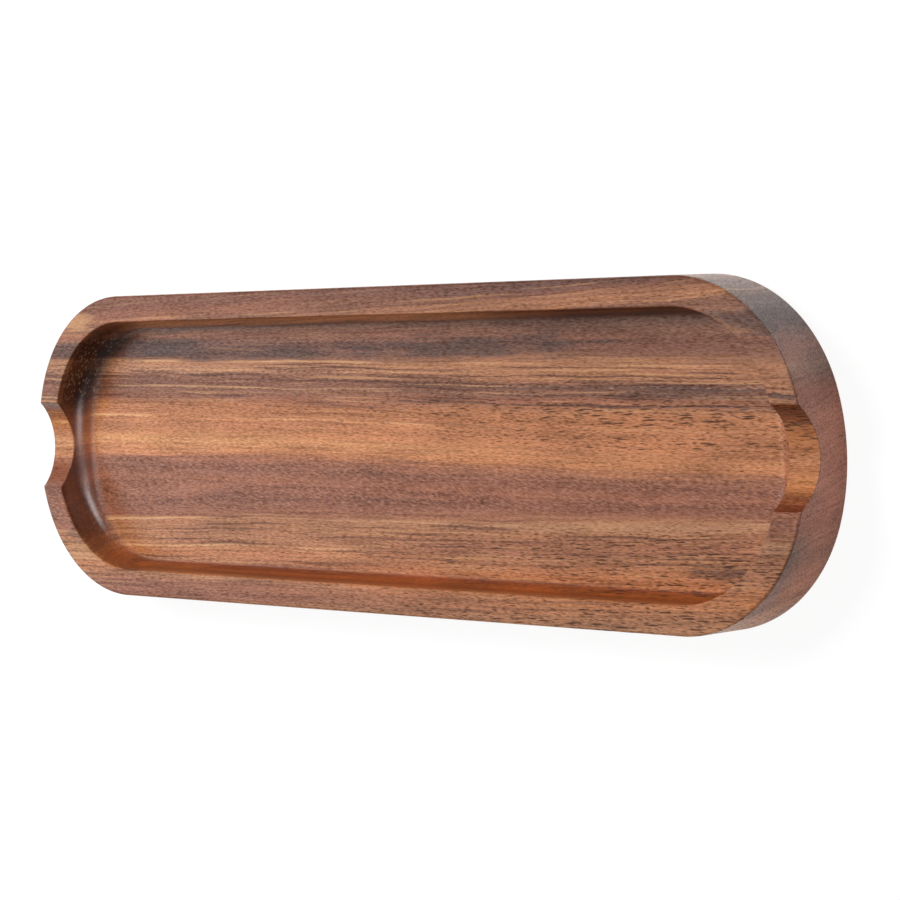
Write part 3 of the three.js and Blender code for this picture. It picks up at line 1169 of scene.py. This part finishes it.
def open_pores(wood):
    """Light flecks, partly painted highlight, then dark pores."""
    tree, place, pores, near = wood.tree, wood.place, wood.pores, wood.near
    fleck_reach = wood.flecks * FLECK_REACH_BY_BAND + FLECK_REACH
    leaning = sheared(tree, place, FLECK_SLOPE)
    fleck = pore_cells(tree, leaning, *FLECK_CELL, fleck_reach, FLECK_SHIFT)
    # Light flecks are partly the wood's own and partly painted highlight; on the outer ends they are
    # painted glints of end-grain pores.
    shown = wood.flecks * wood.flat * FLECK_SHARE_BY_BAND + FLECK_SHARE
    wood.fleck = fleck * (shown + wood.outer_end * FLECK_SHARE_AT_ENDS)
    colour = blend(tree, wood.fleck, wood.colour, FLECK_LIGHT)
    fine_reach = pores * FINE_REACH_BY_BAND + FINE_REACH + near * FINE_REACH_NEAR
    fine = pore_cells(tree, sheared(tree, place, FINE_SLOPE), *FINE_CELL, fine_reach, FINE_SHIFT)
    coarse_reach = pores * (near * COARSE_REACH_NEAR + COARSE_REACH_BY_BAND) + COARSE_REACH
    coarse = pore_cells(tree, sheared(tree, place, COARSE_SLOPE), *COARSE_CELL, coarse_reach, COARSE_SHIFT)
    pore = (fine * (near * FINE_SHARE_NEAR + FINE_SHARE)).math("MAXIMUM", coarse)
    wood.pore = pore * (1.0 - wood.outer_end * PORES_LOST_AT_ENDS)
    wood.colour = blend(tree, wood.pore * PORE_SHARE, colour, PORE_DARK)


# %% [markdown]
# ### Oil, painted shade and painted glints
#
# A rag leaves more oil in the hollow and in the near notch, where it dries deeper and glossier. Their
# colour is darkened for it and also as painted shade, as these slopes get less light. Oil gathers along the
# lower edge of the floor, and the darker tone there is also painted shade at the foot of the wall. On the
# far wall short fibres stand up in the oil, and their glints are painted highlights.

# %% Oil and painted shade in the hollow, painted glints
HOLLOW_OIL = tint(226, 184, 132)
POOL_OIL = tint(255, 236, 196)
GLINT = tint(222, 196, 170)
NOTCH_SIDE_FACING = (0.35, 0.9)
POOL_GOES, POOL_BELOW = (-30.4, -28.0), 12.0
UPPER_GLINTS, LOWER_GLINTS = (8.0, 16.0), (-12.0, -4.0)
GLINT_CELL, GLINT_REACH, GLINT_SHIFT = (2.0, 0.5), 0.42, 2.5
GLINT_SHARE, LOWER_GLINT_SHARE = 0.5, 0.3
# Glints are drawn out across the board and climb a little
GLINT_DRAWN_OUT, GLINT_CLIMB = 0.45, 0.2
POOL_SHARE, POOL_SHARE_NEAR = 0.2, 0.6


def gather_oil(wood):
    """Deeper colour where oil gathers, which is also painted shade, and painted glints on the far wall."""
    tree, x, y, z = wood.tree, wood.x, wood.y, wood.z
    # Painted shade with oil: deeper colour in the hollow and on the near notch's sides.
    notch_side = wood.near_notch * wood.facing_y.math("ABSOLUTE").smooth(*NOTCH_SIDE_FACING)
    oiled = (wood.hollow * (1.0 - wood.gold_wall)).math("MAXIMUM", notch_side)
    colour = blend(tree, oiled, wood.colour, HOLLOW_OIL, "MULTIPLY")
    # Painted shade with oil: deeper colour along the lower edge of the floor, at the foot of the wall.
    pool = y.fade(*POOL_GOES) * z.math("LESS_THAN", POOL_BELOW) * (wood.near * POOL_SHARE_NEAR + POOL_SHARE)
    colour = blend(tree, pool, colour, POOL_OIL, "MULTIPLY")
    # Painted highlights: light specks on the far wall where fibres glint.
    inputs = {"X": x, "Y": y * GLINT_DRAWN_OUT, "Z": z + y * GLINT_CLIMB}
    drawn_out = make(tree, "ShaderNodeCombineXYZ", inputs).outputs[0]
    glint = pore_cells(tree, drawn_out, *GLINT_CELL, GLINT_REACH, GLINT_SHIFT) * wood.far_hollow
    glint = glint * (y.smooth(*UPPER_GLINTS) + y.fade(*LOWER_GLINTS) * LOWER_GLINT_SHARE)
    wood.colour = blend(tree, glint * GLINT_SHARE, colour, GLINT)


# %% [markdown]
# ### Skin of the wood
#
# The oil is the coat of a Principled shader: full in the hollow, thin and patchy on flat parts, where
# dark lines and pores hold less and light fibres more. What is the same all over stands on the shader's
# own sockets. Pores are also a very shallow relief.

# %% Wood material
FLAT_COAT = 0.3
UNDER_GLOSS = 0.15
OIL_ROUGHNESS = 0.3
OIL_IOR = 2.15
RELIEF_DEPTH = 0.1 * MM
RELIEF_STRENGTH = 0.3
HAIR_HEIGHT = 0.5
# Gloss: what hairs and flecks add, what lines, pores and dark ends take away, and the least that is left
HAIR_GLOSS, FLECK_GLOSS = 4.5, 0.6
LINE_DULL, PORE_DULL, END_DULL, LEAST_GLOSS = 0.6, 0.9, 0.6, 0.1
# Coat that is lost on the outer ends and on the far wall's painted shade
COAT_LOST_AT_ENDS, COAT_LOST_IN_DARK = 0.2, 0.7
ROUGHNESS, CLOUD_ROUGHNESS, PORE_ROUGHNESS = 0.42, 0.2, 0.2
WOOD_STEPS = (
    lay_bands, shade_ends, find_hollow, light_wall, weave_fibres, draw_layer_ends, lay_smudges, open_pores,
    gather_oil,
)


def close_material(tree, inputs):
    """Ends a material with one Principled shader."""
    skin = make(tree, "ShaderNodeBsdfPrincipled", inputs)
    make(tree, "ShaderNodeOutputMaterial", {"Surface": skin.outputs[0]})


def close_wood(wood):
    """The shader, from the colour and the marks that the steps have left."""
    tree, hairs, pore = wood.tree, wood.hairs, wood.pore
    gloss = wood.broad_shade + hairs * HAIR_GLOSS + wood.fleck * FLECK_GLOSS
    gloss = gloss - wood.dark_lines * LINE_DULL - pore * PORE_DULL - wood.end_dark * END_DULL
    satin = gloss.math("MAXIMUM", LEAST_GLOSS) * FLAT_COAT
    satin = satin * (1.0 - wood.outer_end * COAT_LOST_AT_ENDS) * (1.0 - wood.hollow)
    height = hairs * HAIR_HEIGHT - pore
    inputs = {"Height": height, "Strength": RELIEF_STRENGTH, "Distance": RELIEF_DEPTH}
    relief = make(tree, "ShaderNodeBump", inputs)
    inputs = {
        "Base Color": wood.colour,
        "Roughness": wood.clouds * CLOUD_ROUGHNESS + ROUGHNESS + pore * PORE_ROUGHNESS,
        "Normal": relief.outputs[0],
        "Coat Weight": satin + wood.hollow * (1.0 - wood.far_dark * COAT_LOST_IN_DARK),
        "Specular IOR Level": UNDER_GLOSS,
        "Coat Roughness": OIL_ROUGHNESS,
        "Coat IOR": OIL_IOR,
    }
    close_material(tree, inputs)


def wood_material():
    material = bare_material("Striped oiled hardwood")
    wood = meet_surface(material.node_tree)
    for step in WOOD_STEPS:
        step(wood)
        print(step.__name__, "leaves", len(wood.tree.nodes), "nodes")
    close_wood(wood)
    print("wood material with", len(wood.tree.nodes), "nodes")
    return material


# %% [markdown]
# ## The finished tray
#
# Every size goes into one of the tree's named inputs. A bevel then eases the marked edges of the
# notches, and weighted normals keep wide faces flat in the light where narrow eased edges touch them.

# %% Make the tray
NOTCH_EDGE_EASE = 0.2 * MM
EASE_SEGMENTS = 2
NORMAL_WEIGHT = 50
BEVEL = {
    "limit_method": "WEIGHT",
    "width": NOTCH_EDGE_EASE,
    "segments": EASE_SEGMENTS,
    "use_clamp_overlap": False,
}
EASING = [("BEVEL", BEVEL), ("WEIGHTED_NORMAL", {"weight": NORMAL_WEIGHT})]
TRAY_SIZES = {**TRAY_LENGTHS, "Steps Around": STEPS_AROUND, "Wood": wood_material()}
tray = grow("routed_tray", tray_tree(), TRAY_SIZES, EASING)
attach(tray, BODY)
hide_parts("tray_body")

# %% [markdown]
# ## The feet
#
# Four soft bumper feet keep the wood off a wet worktop. Each is a low round pad with a rounded lower
# edge. One pad is turned from a section, like the board's skin but round, and set down at the corners
# of a small grid.

# %% Turned pad and its four places
PAD_STEPS_AROUND = 64
PAD_EASE_STEPS = 6
FOOT_NODES = ("foot_near_left", "foot_near_right", "foot_far_left", "foot_far_right")


def turned_pad(tree, size):
    """Underside, rounded edge, upper edge and top, turned round."""
    rows, columns = PAD_EASE_STEPS + 4, PAD_STEPS_AROUND + 1
    grid = make(tree, "GeometryNodeMeshGrid", {"Vertices X": rows, "Vertices Y": columns})
    row, column = rows_and_columns(tree, columns)
    # Clockwise, so that the faces point outwards
    turn = column * -1.0 / PAD_STEPS_AROUND * FULL_TURN
    ease_turn = ((row - 1.0) / PAD_EASE_STEPS).held(0.0, 1.0) * QUARTER_TURN
    closed = row.math("LESS_THAN", 0.5) + row.math("GREATER_THAN", rows - 1.5)
    at_top = row.math("GREATER_THAN", rows - 2.5)
    eased = size["Radius"] - size["Ease"] * (1.0 - ease_turn.math("SINE"))
    out = eased * (1.0 - closed)
    lifted = size["Ease"] * (1.0 - ease_turn.math("COSINE"))
    z = lifted.mix(size["Height"], at_top)
    return bent_grid(tree, grid, out * turn.math("COSINE"), out * turn.math("SINE"), z)


def feet_tree():
    """One turned pad, set down four times."""
    tree = bpy.data.node_groups.new("Bumper feet", "GeometryNodeTree")
    lengths = ("Radius", "Height", "Ease", "Apart Along", "Apart Across")
    size = open_inputs(tree, lengths, (), (("Rubber", "NodeSocketMaterial"),))
    pad = turned_pad(tree, size)
    inputs = {"Size X": size["Apart Along"], "Size Y": size["Apart Across"]}
    inputs.update({"Vertices X": 2, "Vertices Y": 2})
    places = make(tree, "GeometryNodeMeshGrid", inputs)
    inputs = {"Points": places.outputs["Mesh"], "Instance": pad}
    set_down = make(tree, "GeometryNodeInstanceOnPoints", inputs)
    return close_piece(tree, set_down.outputs[0], size["Rubber"])


# %% [markdown]
# ## Rubber
#
# Bumper rubber is nearly black and dull. It is greyer and a little rougher where it has rubbed on the
# worktop, so the wear fades upwards. The mould's fine dimples are a shallow relief. The feet take their
# places and their size from the frame.

# %% Rubber and the finished feet
RUBBER_DARK = tint(34, 34, 36)
RUBBER_WORN = tint(58, 57, 58)
RUBBER_ROUGHNESS = 0.62
WEAR = (2.4, 2.4, 3.0, 1.0)
WEAR_SHOWS, WEAR_GOES_UP = (0.35, 0.75), (0.05, 0.5)
DIMPLES = (0.12, 0.12, 1.0, 3.0)
DIMPLE_DEPTH = 0.05 * MM
DIMPLE_STRENGTH = 0.4
FOOT_EASE = 0.9 * MM
SHARP_FROM = math.radians(40.0)


def rubber_material():
    material = bare_material("Dark bumper rubber")
    tree = material.node_tree
    place, _ = surface(tree)
    _, _, z = parts(tree, place)
    worn = grain_noise(tree, place, *WEAR).smooth(*WEAR_SHOWS) * (1.0 - z.smooth(*WEAR_GOES_UP) * 0.7)
    dimples = grain_noise(tree, place, *DIMPLES)
    inputs = {"Height": dimples, "Strength": DIMPLE_STRENGTH, "Distance": DIMPLE_DEPTH}
    relief = make(tree, "ShaderNodeBump", inputs)
    inputs = {
        "Base Color": blend(tree, worn, RUBBER_DARK, RUBBER_WORN),
        "Roughness": worn * 0.15 + RUBBER_ROUGHNESS,
        "Normal": relief.outputs[0],
    }
    close_material(tree, inputs)
    return material


foot_low, foot_high = (Vector(corner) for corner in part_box(FOOT_NODES[0]))
foot_middle = (foot_low + foot_high) / 2.0
FEET_SIZES = {
    "Radius": (foot_high.x - foot_low.x) / 2.0,
    "Height": foot_high.z - foot_low.z,
    "Ease": FOOT_EASE,
    "Apart Along": abs(foot_middle.x) * 2.0,
    "Apart Across": abs(foot_middle.y) * 2.0,
    "Rubber": rubber_material(),
}
feet = grow("bumper_feet", feet_tree(), FEET_SIZES)
for face in feet.data.polygons:
    face.use_smooth = True
feet.data.set_sharp_from_angle(angle=SHARP_FROM)
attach(feet, BODY)
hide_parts(*FOOT_NODES)
print("feet at", [round(value / MM, 1) for value in foot_middle], "mm and its three mirror places")
